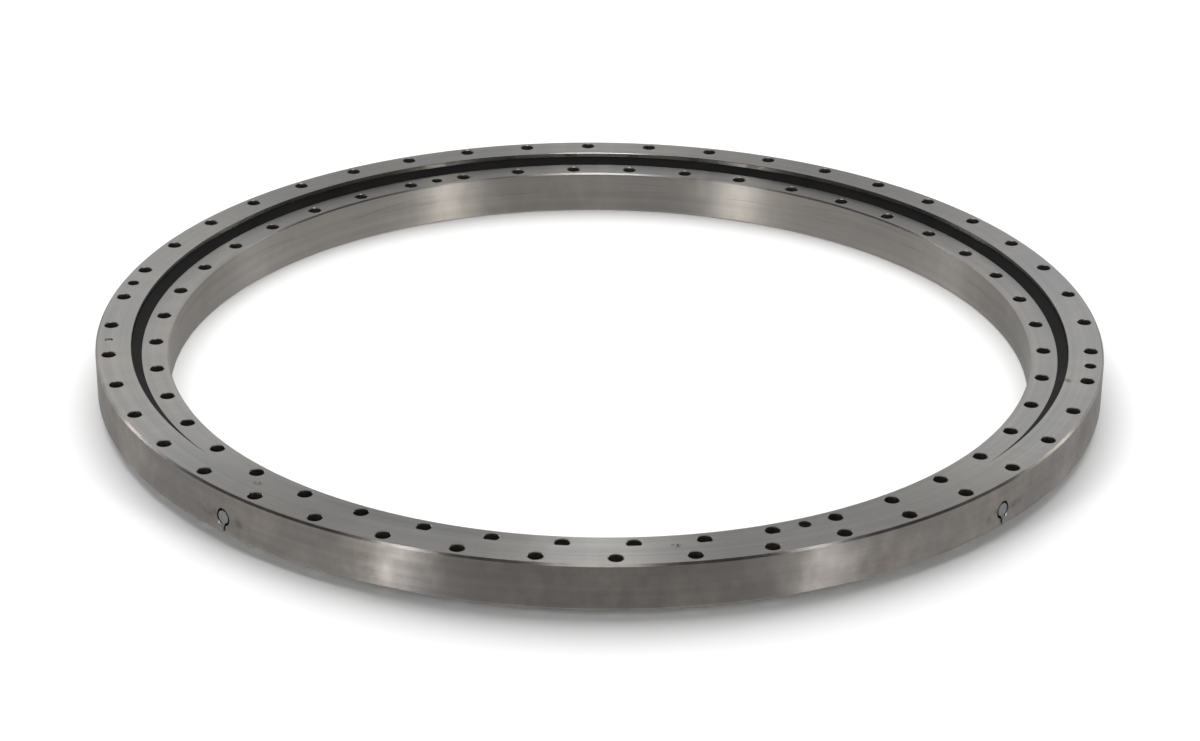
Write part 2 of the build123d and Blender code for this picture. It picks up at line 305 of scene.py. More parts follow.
class Nodes:
    """Builds a node tree with short calls. A value may be a number or a socket."""

    def __init__(self, tree: bpy.types.NodeTree) -> None:
        """Empties the tree.

        Args:
            tree: The tree that the calls add to.
        """
        self.tree = tree
        self.tree.nodes.clear()

    def node(self, kind: str, **settings: object) -> bpy.types.Node:
        """Adds a node and sets its properties.

        Args:
            kind: The node's type name.
            **settings: Property values.

        Returns:
            The node.
        """
        made = self.tree.nodes.new(kind)
        for key, value in settings.items():
            setattr(made, key, value)
        return made

    def feed(self, socket: Socket, value: object) -> None:
        """Links a socket to another, or sets its own value.

        Args:
            socket: The input.
            value: A socket, number or colour.
        """
        if isinstance(value, Socket):
            self.tree.links.new(value, socket)
        else:
            socket.default_value = value

    def math(self, operation: str, a: object, b: object = 0.0, c: object = 0.0) -> Socket:
        """One Math node's result.

        Args:
            operation: Its operation.
            a: First value.
            b: Second value.
            c: Third value.

        Returns:
            The result's socket.
        """
        made = self.node("ShaderNodeMath", operation=operation)
        for socket, value in zip(made.inputs, (a, b, c)):
            self.feed(socket, value)
        return made.outputs[0]

    def plus(self, a: object, b: object) -> Socket:
        """a + b."""
        return self.math("ADD", a, b)

    def minus(self, a: object, b: object) -> Socket:
        """a - b."""
        return self.math("SUBTRACT", a, b)

    def times(self, a: object, b: object) -> Socket:
        """a x b."""
        return self.math("MULTIPLY", a, b)

    def larger(self, a: object, b: object) -> Socket:
        """The larger of a and b."""
        return self.math("MAXIMUM", a, b)

    def apart(self, a: object, b: object) -> Socket:
        """How far apart a and b are: |a - b|."""
        return self.math("ABSOLUTE", self.minus(a, b))

    def spread(
        self, value: object, low: float, high: float, to_low: float = 0.0, to_high: float = 1.0
    ) -> Socket:
        """Maps a value from one range to another and stops it at both ends.

        Args:
            value: The value.
            low: Start of its range.
            high: End of its range.
            to_low: Result at the start.
            to_high: Result at the end.

        Returns:
            The result's socket.
        """
        made = self.node("ShaderNodeMapRange", clamp=True)
        for socket, number in zip(made.inputs, (value, low, high, to_low, to_high)):
            self.feed(socket, number)
        return made.outputs[0]

    def noise(
        self, vector: object, scale: float, detail: float = 2.0, rough: float = 0.5
    ) -> Socket:
        """Value of a noise texture.

        Args:
            vector: Where it is read.
            scale: Its scale.
            detail: Octaves.
            rough: Share kept by each octave.

        Returns:
            The value's socket.
        """
        made = self.node("ShaderNodeTexNoise")
        self.feed(made.inputs["Vector"], vector)
        made.inputs["Scale"].default_value = scale
        made.inputs["Detail"].default_value = detail
        made.inputs["Roughness"].default_value = rough
        return made.outputs[0]

    def blend(self, share: object, a: object, b: object) -> Socket:
        """Mixes two colours.

        Args:
            share: How much of the second.
            a: First colour.
            b: Second colour.

        Returns:
            The colour's socket.
        """
        made = self.node("ShaderNodeMix", data_type="RGBA")
        self.feed(made.inputs[0], share)
        self.feed(made.inputs[6], a)
        self.feed(made.inputs[7], b)
        return made.outputs[2]

    def xyz(self, x: object, y: object, z: object) -> Socket:
        """A vector from three values.

        Args:
            x: First value.
            y: Second value.
            z: Third value.

        Returns:
            The vector's socket.
        """
        made = self.node("ShaderNodeCombineXYZ")
        for socket, value in zip(made.inputs, (x, y, z)):
            self.feed(socket, value)
        return made.outputs[0]

    def bump(
        self, height: object, strength: float, distance: float, under: object = None
    ) -> Socket:
        """Normal of a surface raised by a height.

        Args:
            height: The height's socket.
            strength: Share of the effect.
            distance: Height of a value of one, in metres.
            under: Normal of a coarser bump.

        Returns:
            The normal's socket.
        """
        made = self.node("ShaderNodeBump")
        made.inputs["Strength"].default_value = strength
        made.inputs["Distance"].default_value = distance
        self.feed(made.inputs["Height"], height)
        if under is not None:
            self.feed(made.inputs["Normal"], under)
        return made.outputs[0]

    def place(self) -> Socket:
        """The piece's own coordinates, in metres."""
        return self.node("ShaderNodeTexCoord").outputs["Object"]

    def polar(self) -> tuple[Socket, ...]:
        """Cosine and sine of the angle round the axis, distance from it, and height."""
        made = self.node("ShaderNodeSeparateXYZ")
        self.feed(made.inputs[0], self.place())
        x, y, z = made.outputs
        radius = self.math("SQRT", self.plus(self.times(x, x), self.times(y, y)))
        return self.math("DIVIDE", x, radius), self.math("DIVIDE", y, radius), radius, z


class Graph(Nodes):
    """A new material with a Principled shader."""

    def __init__(self, name: str) -> None:
        """Starts the material.

        Args:
            name: The material's name.
        """
        self.material = bpy.data.materials.new(name)
        self.material.use_nodes = True
        super().__init__(self.material.node_tree)
        output = self.node("ShaderNodeOutputMaterial")
        self.shader = self.node("ShaderNodeBsdfPrincipled")
        self.tree.links.new(self.shader.outputs[0], output.inputs["Surface"])

    def give(self, name: str, value: object) -> None:
        """Feeds one of the shader's inputs, by its name."""
        self.feed(self.shader.inputs[name], value)


def opaque(colour: Colour, tint: Colour = (1.0, 1.0, 1.0)) -> tuple[float, ...]:
    """The colour times the tint, with full opacity."""
    return (*(c * t for c, t in zip(colour, tint)), 1.0)


@dataclass(frozen=True)
class TurnedSteel:
    """Bare steel finished on a lathe: fine grooves run round the axis and stretch its highlights
    across them. Oil film, faint stains and stray hairlines vary its colour."""

    name: str
    colour: Colour = (0.385, 0.372, 0.355)
    roughness: float = 0.36
    anisotropy: float = 0.9
    groove_pitch: float = 0.9 * MM
    groove_depth: float = 0.004 * MM
    stain: float = 0.10
    hairlines: float = 0.5
    nicks: tuple[tuple[float, float, float], ...] = ()
    tool_lines: tuple[float, ...] = ()
    port_angle: float | None = None
    port_height: float = 0.0

    nick_core: float = 1.5 * MM
    nick_reach: float = 6.0 * MM
    nick_darkness: float = 0.85
    line_wander: float = 7.0 * MM
    line_core: float = 0.1 * MM
    line_reach: float = 0.45 * MM
    line_darkness: float = 0.34
    smear_core: float = 2.0 * MM
    smear_reach: float = 8.0 * MM
    smear_darkness: float = 0.38
    hairline_depth: float = 0.03 * MM

    def nick(self, g: Graph, point: tuple[float, float, float]) -> Socket:
        """Darkening round a nick, which fades from its core to its reach.

        Args:
            g: The material's graph.
            point: The nick's middle.

        Returns:
            The darkening's socket.
        """
        away = g.node("ShaderNodeVectorMath", operation="DISTANCE")
        g.feed(away.inputs[0], g.place())
        away.inputs[1].default_value = point
        reach = (self.nick_core, self.nick_reach)
        return g.spread(away.outputs["Value"], *reach, self.nick_darkness, 0.0)

    def tool_line(self, g: Graph, number: int, cosine: Socket, sine: Socket, z: Socket) -> Socket:
        """Darkening of a faint line that wanders up and down a wall and comes and goes.

        Args:
            g: The material's graph.
            number: Which of the tool_lines.
            cosine: Cosine of the angle round the axis.
            sine: Its sine.
            z: Height along the axis.

        Returns:
            The darkening's socket.
        """
        level = self.tool_lines[number]
        around = g.xyz(g.times(cosine, 2.2), g.times(sine, 2.2), 7.0 * number)
        ends = (level - self.line_wander, level + self.line_wander)
        wander = g.spread(g.noise(around, 1.0, 3.0), 0.25, 0.75, *ends)
        shown = g.spread(g.noise(around, 2.7, 1.0), 0.46, 0.56, 0.0, self.line_darkness)
        line = g.spread(g.apart(z, wander), self.line_core, self.line_reach, 1.0, 0.0)
        return g.times(line, shown)

    def port_smear(self, g: Graph, cosine: Socket, sine: Socket, z: Socket) -> Socket:
        """Darkening of the oil wiped along the wall beside the grease ports. They stand a quarter
        turn apart, so with c the cosine of the angle a from the first of them,
        cos 4a = 8 c^2 (c^2 - 1) + 1 is 1 at each.

        Args:
            g: The material's graph.
            cosine: Cosine of the angle round the axis.
            sine: Its sine.
            z: Height along the axis.

        Returns:
            The darkening's socket.
        """
        along = g.times(cosine, math.cos(self.port_angle))
        c = g.plus(along, g.times(sine, math.sin(self.port_angle)))
        square = g.times(c, c)
        fourfold = g.math("MULTIPLY_ADD", g.times(square, g.minus(square, 1.0)), 8.0, 1.0)
        level = g.apart(z, self.port_height)
        near = g.spread(level, self.smear_core, self.smear_reach, 1.0, 0.0)
        wiped = g.times(g.spread(fourfold, 0.955, 0.992), near)
        broken = g.spread(g.noise(g.place(), 130.0, 2.0), 0.4, 0.62, 0.06, self.smear_darkness)
        return g.times(wiped, broken)

    def marks(self, g: Graph, cosine: Socket, sine: Socket, z: Socket) -> object:
        """How much each place is darkened by nicks, tool lines and oil, from 0 to 1.

        Args:
            g: The material's graph.
            cosine: Cosine of the angle round the axis.
            sine: Its sine.
            z: Height along the axis.

        Returns:
            The largest darkening at each place, or 0.
        """
        ragged = g.spread(g.noise(g.place(), 420.0, 3.0), 0.42, 0.54)
        found = [g.times(self.nick(g, point), ragged) for point in self.nicks]
        found += [self.tool_line(g, n, cosine, sine, z) for n in range(len(self.tool_lines))]
        if self.port_angle is not None:
            found.append(self.port_smear(g, cosine, sine, z))
        return reduce(g.larger, found, 0.0)

    def make(self) -> Material:
        """Builds the material.

        Returns:
            The material: streaks follow (cos a, sin a, radius + height), so each line runs round
            the axis on a face and on a wall alike.
        """
        g = Graph(self.name)
        cosine, sine, radius, z = g.polar()
        across = g.plus(radius, z)
        groove = g.xyz(cosine, sine, g.times(across, 1 / self.groove_pitch))
        fine = g.noise(groove, 1.0, 3.0, 0.6)
        band = g.xyz(cosine, sine, g.times(across, 0.12 / self.groove_pitch))
        broad = g.noise(band, 1.3, 2.0)
        patches = g.noise(g.place(), 9.0, 4.0, 0.62)
        stretched = g.xyz(g.times(cosine, 26.0), g.times(sine, 26.0), g.times(z, 36.0))
        smears = g.noise(stretched, 1.0, 3.0, 0.55)
        fine_streak = g.spread(fine, 0.3, 0.7, -0.5, 0.5)
        streak = g.plus(fine_streak, g.spread(broad, 0.3, 0.7, -0.8, 0.8))
        shade = g.spread(streak, -1.0, 1.0, 0.90, 1.08)
        stained = g.spread(g.times(patches, smears), 0.2, 0.36, 1.0 - self.stain, 1.0)
        unmarked = g.minus(1.0, self.marks(g, cosine, sine, z))
        tone = g.times(g.times(shade, stained), unmarked)
        toned = g.node("ShaderNodeMix", data_type="RGBA", blend_type="MULTIPLY")
        toned.inputs[0].default_value = 1.0
        share = g.spread(patches, 0.35, 0.65)
        cool, warm = opaque(self.colour, COOL), opaque(self.colour, WARM)
        g.feed(toned.inputs[6], g.blend(share, cool, warm))
        g.feed(toned.inputs[7], g.xyz(tone, tone, tone))
        g.give("Base Color", toned.outputs[2])
        g.give("Metallic", 1.0)
        g.give("Anisotropic", self.anisotropy)
        g.give("Anisotropic Rotation", 0.25)
        g.give("Tangent", g.node("ShaderNodeTangent", direction_type="RADIAL", axis="Z").outputs[0])
        smear_rough = g.spread(smears, 0.3, 0.7, -0.02, 0.03)
        rough = g.plus(smear_rough, g.spread(fine, 0.3, 0.7, -0.02, 0.02))
        g.give("Roughness", g.plus(rough, self.roughness))
        scratched = g.spread(g.noise(g.place(), 60.0, 1.0), 0.56, 0.62)
        thin = g.apart(g.noise(g.place(), 17.0, 2.0, 0.4), 0.5)
        line = g.times(g.spread(thin, 0.0, 0.0022, 1.0, 0.0), scratched)
        grooves = g.bump(fine, 0.6, self.groove_depth)
        hairline = g.times(line, -self.hairlines)
        g.give("Normal", g.bump(hairline, 0.5, self.hairline_depth, grooves))
        return g.material


@dataclass(frozen=True)
class PlainSteel:
    """Small steel parts without turning grooves: drilled walls, pins, plated fittings."""

    name: str
    colour: Colour = (0.45, 0.44, 0.42)
    roughness: float = 0.35
    grain: float = 900.0
    variation: float = 0.12
    rough_spread: float = 0.08
    grain_depth: float = 0.01 * MM

    def make(self) -> Material:
        """Builds the material with a fine grain in its colour, roughness and bump.

        Returns:
            The material.
        """
        g = Graph(self.name)
        grain = g.noise(g.place(), self.grain, 4.0, 0.6)
        cloud = g.noise(g.place(), self.grain / 12, 3.0)
        dark = opaque(self.colour, (1 - self.variation,) * 3)
        light = opaque(self.colour, (1 + self.variation,) * 3)
        g.give("Base Color", g.blend(g.spread(cloud, 0.3, 0.7), dark, light))
        g.give("Metallic", 1.0)
        ends = (self.roughness - self.rough_spread, self.roughness + self.rough_spread)
        g.give("Roughness", g.spread(grain, 0.25, 0.75, *ends))
        g.give("Normal", g.bump(grain, 0.4, self.grain_depth))
        return g.material


@dataclass(frozen=True)
class Polymer:
    """Rubber or plastic: a soft sheen, fine pores and a little dust or grease in patches."""

    name: str
    colour: Colour
    bloom: Colour
    roughness: float = 0.5
    specular: float = 0.5
    pore: float = 1600.0
    pore_depth: float = 0.02 * MM

    def make(self) -> Material:
        """Builds the material: colour and roughness follow broad patches, bump follows pores.

        Returns:
            The material.
        """
        g = Graph(self.name)
        patches = g.noise(g.place(), 24.0, 5.0, 0.6)
        pores = g.noise(g.place(), self.pore, 3.0, 0.6)
        share = g.spread(patches, 0.42, 0.7)
        g.give("Base Color", g.blend(share, opaque(self.colour), opaque(self.bloom)))
        ends = (self.roughness - 0.07, self.roughness + 0.09)
        g.give("Roughness", g.spread(patches, 0.3, 0.7, *ends))
        g.give("Specular IOR Level", self.specular)
        g.give("Normal", g.bump(pores, 0.5, self.pore_depth))
        return g.material


# ----------------------------------------------------------------------------- the bearing


@dataclass(frozen=True)
class Section:
    """The bearing's shared sizes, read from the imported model. The two rings have the same
    section, turned half round about the ball centre."""

    outside: float
    bore: float
    ball_circle: float
    ball_height: float
    tall: float
    short: float
    land: float
    bolt_offset: float
    hole: float
    count: int

    seat_width: float = 8.75 * MM
    seat_depth: float = 4.0 * MM
    foot_inset: float = 1.0 * MM
    foot_width: float = 2.5 * MM
    foot_depth: float = 2.0 * MM
    ball: float = 10.0 * MM
    raceway_opening: float = 0.6 * MM
    raceway_shift: float = 0.25 * MM * math.sqrt(0.5)
    edge_break: float = 0.4 * MM
    mouth: float = 0.6 * MM

    @classmethod
    def read(cls, record: dict) -> Section:
        """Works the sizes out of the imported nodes' boxes and the record's mounts.

        Args:
            record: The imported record.

        Returns:
            The sizes.
        """
        mounts = {m["name"]: m for m in record["mounts"]}
        outer_low, outer_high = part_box("outer_ring")
        inner_low, inner_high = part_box("inner_ring")
        outer_bolts = mounts["outer_bolt_circle"]["dims"]
        inner_bolts = mounts["inner_bolt_circle"]["dims"]
        circle_radius = (outer_bolts["pcd_mm"] + inner_bolts["pcd_mm"]) / 4 * MM
        ball_height = (outer_high.z + inner_low.z) / 2
        return cls(
            outside=outer_high.x,
            bore=mounts["bore"]["dims"]["r_mm"] * MM,
            ball_circle=circle_radius,
            ball_height=ball_height,
            tall=outer_high.z - ball_height,
            short=inner_high.z - ball_height,
            land=circle_radius - inner_high.x,
            bolt_offset=(outer_bolts["pcd_mm"] - inner_bolts["pcd_mm"]) / 4 * MM,
            hole=outer_bolts["hole_r_mm"] * MM,
            count=outer_bolts["count"],
        )


@dataclass
class Ring:
    """One ring, built from half-pitch tiles on both faces and turned walls between them.

    side is 1 for the outer ring and -1 for the inner ring. Sizes across the section are counted
    from the ball centre, away from it on the ring's own side.
    """

    section: Section
    name: str
    side: int
    wall: float
    chamfer: float
    phase: float
    places: dict[float, Place]
    port_angles: tuple[float, ...] = ()
    plug_angle: float | None = None
    tile: Tile = field(default_factory=Tile)
    wall_rows: int = 8
    lift_core: float = 5.1 * MM
    lift_mouth: float = 1.0 * MM
    lift_depth: float = 25.0 * MM
    thread_pitch: float = 1.75 * MM
    thread_depth: float = 0.6 * MM
    thread_rows: int = 84
    pin_hole: float = 4.0 * MM
    pin_mouth: float = 0.3 * MM
    pin_depth: float = 41.0 * MM
    port_recess: float = 8.5 * MM
    port_mouth: float = 1.0 * MM
    port_depth: float = 12.0 * MM
    port_bore: float = 5.0 * MM
    port_bore_depth: float = 9.0 * MM
    plug_hole: float = 10.55 * MM
    plug_mouth: float = 0.15 * MM

    @property
    def half_pitch(self) -> float:
        """Angle of one tile in radians."""
        return math.pi / self.section.count

    @property
    def segment(self) -> float:
        """Angle of one column of the turned walls in radians."""
        return self.half_pitch / self.tile.across

    def at(self, across: float, up: float) -> tuple[float, float]:
        """(radius, height) of a place in the section.

        Args:
            across: Distance from the ball circle, on the ring's own side.
            up: Distance from the ball's height, towards the face that stands proud.

        Returns:
            The place in the row frame.
        """
        s = self.section
        return s.ball_circle + self.side * across, s.ball_height + self.side * up

    def columns(self) -> np.ndarray:
        """Angles of the turned walls' columns, in step with the tiles' edges."""
        count = 2 * self.section.count * self.tile.across
        return self.phase - self.half_pitch / 2 + np.arange(count) * self.segment

    def face_edges(self, proud: bool) -> tuple[float, float]:
        """Inner and outer radius of a face.

        Args:
            proud: True for the face that stands proud, False for the one beside the seal's seat.

        Returns:
            The two radii, smaller first.
        """
        s = self.section
        near = s.land + (s.edge_break if proud else s.seat_width)
        edges = sorted(self.at(x, 0)[0] for x in (near, self.wall - self.chamfer))
        return edges[0], edges[1]

    def face_height(self, proud: bool) -> float:
        """Height of a face in the row frame."""
        return self.at(0, self.section.tall if proud else -self.section.short)[1]

    def rim(self, proud: bool) -> np.ndarray:
        """(n, 2) rim of a face's tile, as radial and tangential distance at the tile's middle."""
        low, high = self.face_edges(proud)
        unit = self.tile.rim()
        angle = unit[:, 0] * self.half_pitch / 2
        radius = low + (unit[:, 1] + 1) / 2 * (high - low)
        return np.stack([radius * np.cos(angle), radius * np.sin(angle)], -1)

    def top_proud(self) -> bool:
        """True if the ring's upper face is the one that stands proud."""
        return self.side > 0

    def add_faces(self, shell: Shell) -> None:
        """Adds both faces: blank tiles as plain grids, the others round their holes.

        Args:
            shell: The shell that takes them.
        """
        steps = 2 * self.section.count
        angles = self.phase + np.arange(steps) * self.half_pitch
        between = (self.places.get(n + 0.5, Place.BLANK) for n in range(self.section.count))
        kinds = [kind for place in between for kind in (Place.FIXING, place)]
        for kind in Place:
            chosen = angles[[k is kind for k in kinds]]
            if not len(chosen):
                continue
            for upper in (True, False):
                if kind is Place.BLANK or (kind is not Place.FIXING and not upper):
                    self.add_blank(shell, chosen, upper)
                else:
                    self.add_drilled(shell, chosen, upper, kind)
        self.add_through_walls(shell, angles[::2])

    def add_blank(self, shell: Shell, angles: np.ndarray, upper: bool) -> None:
        """Adds plain tiles: a grid of evenly spaced radii and angles.

        Args:
            shell: The shell that takes them.
            angles: Their middle angles.
            upper: True for the upper face.
        """
        proud = upper == self.top_proud()
        low, high = self.face_edges(proud)
        radius = np.linspace(low, high, self.tile.up + 1)
        profile = np.stack([radius, np.full_like(radius, self.face_height(proud))], -1)
        offsets = np.linspace(-0.5, 0.5, self.tile.across + 1) * self.half_pitch
        grid = turn(profile[None, :, None, :], angles[:, None, None] + offsets[None, None, :])
        shell.grid(grid, zone=Zone.FACE.value)

    def hole_angles(self) -> np.ndarray:
        """Directions from a hole's centre to the rim of the upper face's tile."""
        rim = self.rim(self.top_proud()) - np.array([self.bolt_radius(), 0.0])
        return np.arctan2(rim[:, 1], rim[:, 0])

    def bolt_radius(self) -> float:
        """Radius of the ring's bolt circle."""
        return self.at(self.section.bolt_offset, 0)[0]

    def add_drilled(self, shell: Shell, angles: np.ndarray, upper: bool, kind: Place) -> None:
        """Adds tiles with a hole, and the wall of a hole that ends inside the ring.

        Args:
            shell: The shell that takes them.
            angles: Their middle angles.
            upper: True for the upper face.
            kind: What the tiles hold.
        """
        s = self.section
        proud = upper == self.top_proud()
        height = self.face_height(proud)
        sizes = {
            Place.FIXING: s.hole + s.mouth,
            Place.LIFTING: self.lift_core + self.lift_mouth,
            Place.PIN: self.pin_hole + self.pin_mouth,
        }
        directions = self.hole_angles()
        hole = circle((self.bolt_radius(), 0.0), sizes[kind], directions)
        flat = self.tile.rows(self.rim(proud), hole)
        rows = np.concatenate([flat, np.full((*flat.shape[:2], 1), height)], -1)
        shell.grid(turn(rows[None], angles[:, None, None]), closed=True, zone=Zone.FACE.value)
        zone = Zone.DRILLED
        if kind is Place.LIFTING:
            profile, zone = self.thread_profile(directions), Zone.TAPPED
        elif kind is Place.PIN:
            radii = (sizes[kind], self.pin_hole, self.pin_hole, 0)
            heights = (0, -self.pin_mouth, -self.pin_depth, -self.pin_depth)
            plain = np.stack([radii, heights], -1)
            profile = plain[:, None, :] + np.zeros((1, len(directions), 1))
        else:
            return
        across = self.bolt_radius() + profile[..., 0] * np.cos(directions)
        around = profile[..., 0] * np.sin(directions)
        wall = np.stack([across, around, height + profile[..., 1]], -1)
        shell.grid(turn(wall[None], angles[:, None, None]), closed=True, zone=zone.value)

    def thread_profile(self, directions: np.ndarray) -> np.ndarray:
        """A tapped hole's wall: core + depth x triangle(height / pitch + angle / turn), with the
        crests fading in below the mouth and out above the drill's cone.

        Args:
            directions: Angles round the hole.

        Returns:
            (rows, n, 2) radius and height below the face.
        """
        z = np.linspace(self.lift_mouth, self.lift_depth, self.thread_rows)
        turns = z[:, None] / self.thread_pitch + directions[None, :] / (2 * math.pi)
        wave = np.abs(turns % 1.0 - 0.5) * 2
        fade = np.clip((z - self.lift_mouth) / self.thread_pitch, 0, 1)
        fade *= np.clip((self.lift_depth - z) / (2 * self.thread_pitch), 0, 1)
        radius = self.lift_core + self.thread_depth * wave * fade[:, None]
        ones = np.ones((1, len(directions)))
        thread = np.stack([radius, -z[:, None] * ones], -1)
        mouth = np.stack([ones * (self.lift_core + self.lift_mouth), ones * 0], -1)
        cone = np.stack([ones * 0, ones * -(self.lift_depth + self.lift_core / 2)], -1)
        return np.concatenate([mouth, thread, cone])

    def add_through_walls(self, shell: Shell, angles: np.ndarray) -> None:
        """Adds the fixing holes' walls from one face to the other, chamfered at both ends.

        Args:
            shell: The shell that takes them.
            angles: The holes' angles.
        """
        s = self.section
        top, bottom = (self.face_height(p) for p in (self.top_proud(), not self.top_proud()))
        directions = self.hole_angles()
        steps = 6
        heights = [top, *np.linspace(top - s.mouth, bottom + s.mouth, steps), bottom]
        radii = [s.hole + s.mouth, *[s.hole] * steps, s.hole + s.mouth]
        flat = [circle((self.bolt_radius(), 0.0), r, directions) for r in radii]
        rows = [np.column_stack([row, np.full(len(row), z)]) for row, z in zip(flat, heights)]
        grid = turn(np.stack(rows)[None], angles[:, None, None])
        shell.grid(grid, closed=True, zone=Zone.DRILLED.value)

    def raceway(self) -> np.ndarray:
        """Pointed-arch groove in the section, from the proud side to the other: two arcs whose
        centres lie off the ball's, one for each pair of contacts."""
        s = self.section
        radius = s.ball + s.raceway_opening
        shift = s.raceway_shift
        start = math.acos((s.land + shift) / radius)
        end = math.asin(shift / radius)
        upper = arc((-shift, -shift), radius, start, end, 10)
        lower = upper[::-1][1:] * np.array([1, -1])
        return np.array([self.at(x, z) for x, z in np.concatenate([upper, lower])])

    def add_walls(self, shell: Shell) -> None:
        """Adds the turned surfaces that join the faces: land, raceway, seal seat and back wall.

        Args:
            shell: The shell that takes them.
        """
        s = self.section
        columns = self.columns()
        seat = s.land + s.seat_width
        floor = s.seat_depth - s.short
        foot = (seat - s.foot_inset, seat - s.foot_inset - s.foot_width)
        groove = self.raceway()
        land_top = [self.at(s.land + s.edge_break, s.tall), self.at(s.land, s.tall - s.edge_break)]
        land_low = [self.at(s.land, floor)]
        seat_points = [
            self.at(s.land, floor),
            self.at(foot[1], floor),
            self.at(foot[1], floor + s.foot_depth),
            self.at(foot[0], floor + s.foot_depth),
            self.at(foot[0], floor),
            self.at(seat, floor),
            self.at(seat, -s.short),
        ]
        ends = [self.at(self.wall, z) for z in (s.tall - self.chamfer, self.chamfer - s.short)]
        faces = [self.at(self.wall - self.chamfer, z) for z in (s.tall, -s.short)]
        corners = [list(pair) for pair in zip(faces, ends)]
        back = np.linspace(ends[0], ends[1], self.wall_rows + 1)
        profiles = [
            ([*land_top, groove[0]], Zone.LAND),
            (groove, Zone.RACEWAY),
            ([groove[-1], *land_low], Zone.WALL),
            (seat_points, Zone.WALL),
            *((corner, Zone.WALL) for corner in corners),
            (back, Zone.WALL),
        ]
        for profile, zone in profiles:
            shell.grid(lathe(np.array(profile), columns), closed=True, zone=zone.value)
        shell.without(self.opened(len(columns)))

    def openings(self) -> list[float]:
        """Angles of the radial openings in the back wall."""
        plug = [] if self.plug_angle is None else [self.plug_angle]
        return [*self.port_angles, *plug]

    def first_column(self, angle: float) -> int:
        """The column where the patch round a radial opening starts."""
        start = self.phase - self.half_pitch / 2
        return round((angle - start) / self.segment) - self.tile.across // 2

    def opened(self, count: int) -> np.ndarray:
        """Which quads of the back wall the radial openings' patches take.

        Args:
            count: Columns of the wall.

        Returns:
            One boolean for each quad, row by row.
        """
        mask = np.zeros((self.wall_rows, count), bool)
        for angle in self.openings():
            columns = (self.first_column(angle) + np.arange(self.tile.across)) % count
            mask[:, columns] = True
        return mask.ravel()

    def add_openings(self, shell: Shell) -> None:
        """Adds the grease ports and the filling hole to the back wall.

        Args:
            shell: The shell that takes them.
        """
        port = [
            (self.port_recess + self.port_mouth, 0.0),
            (self.port_recess, -self.port_mouth),
            (self.port_recess, -self.port_depth),
            (self.port_bore, -self.port_depth),
            (self.port_bore, -self.port_depth - self.port_bore_depth),
            (0.0, -self.port_depth - self.port_bore_depth),
        ]
        plug_depth = self.section.outside - self.section.ball_circle - self.section.ball - 1.5 * MM
        plug = [
            (self.plug_hole + self.plug_mouth, 0.0),
            (self.plug_hole, -self.plug_mouth),
            (self.plug_hole, -plug_depth),
            (0.0, -plug_depth),
        ]
        for angle in self.openings():
            self.add_opening(shell, angle, plug if angle == self.plug_angle else port)

    def add_opening(self, shell: Shell, angle: float, profile: list[tuple[float, float]]) -> None:
        """Adds one radial opening: its patch of the back wall and its own turned wall.

        A point at (y, z) on the wall stands at x = sqrt(R^2 - y^2).

        Args:
            shell: The shell that takes it.
            angle: The opening's angle.
            profile: (radius, distance outside the wall) points from the mouth inwards.
        """
        s = self.section
        back = self.at(self.wall, 0)[0]
        start = self.phase - self.half_pitch / 2 + self.first_column(angle) * self.segment
        unit = self.tile.rim()
        theta = start + (unit[:, 0] + 1) / 2 * self.tile.across * self.segment - angle
        low = self.at(self.wall, self.chamfer - s.short)[1]
        high = self.at(self.wall, s.tall - self.chamfer)[1]
        height = low + (unit[:, 1] + 1) / 2 * (high - low)
        rim = np.stack([back * np.sin(theta), height], -1)
        from_axis = rim - np.array([0.0, s.ball_height])
        directions = np.arctan2(from_axis[:, 1], from_axis[:, 0])
        rows = self.tile.rows(rim, circle((0.0, s.ball_height), profile[0][0], directions))
        shell.grid(self.on_back(rows, angle), closed=True, zone=Zone.WALL.value)
        mouth = circle((0.0, s.ball_height), profile[0][0], directions)
        wall = [self.on_plane(r, x, directions, angle) for r, x in profile[1:]]
        shell.grid(
            np.stack([self.on_back(mouth, angle), *wall]), closed=True, zone=Zone.DRILLED.value
        )

    def on_back(self, points: np.ndarray, angle: float) -> np.ndarray:
        """Lifts (tangential, height) points to the back wall at an angle."""
        back = self.at(self.wall, 0)[0]
        depth = np.sqrt(back**2 - points[..., 0] ** 2)
        return turn(np.stack([depth, points[..., 0], points[..., 1]], -1), np.array(angle))

    def on_plane(
        self, radius: float, outside: float, directions: np.ndarray, angle: float
    ) -> np.ndarray:
        """A flat circle of points across a radial opening's axis."""
        ring = circle((0.0, self.section.ball_height), radius, directions)
        depth = np.full(len(ring), self.at(self.wall, 0)[0] + outside)
        return turn(np.stack([depth, ring[:, 0], ring[:, 1]], -1), np.array(angle))

    def make(self, materials: list[Material]) -> Object:
        """Builds the ring.

        Args:
            materials: One for each zone.

        Returns:
            The ring's object.
        """
        shell = Shell()
        self.add_faces(shell)
        self.add_walls(shell)
        self.add_openings(shell)
        return shell.make(self.name, materials)


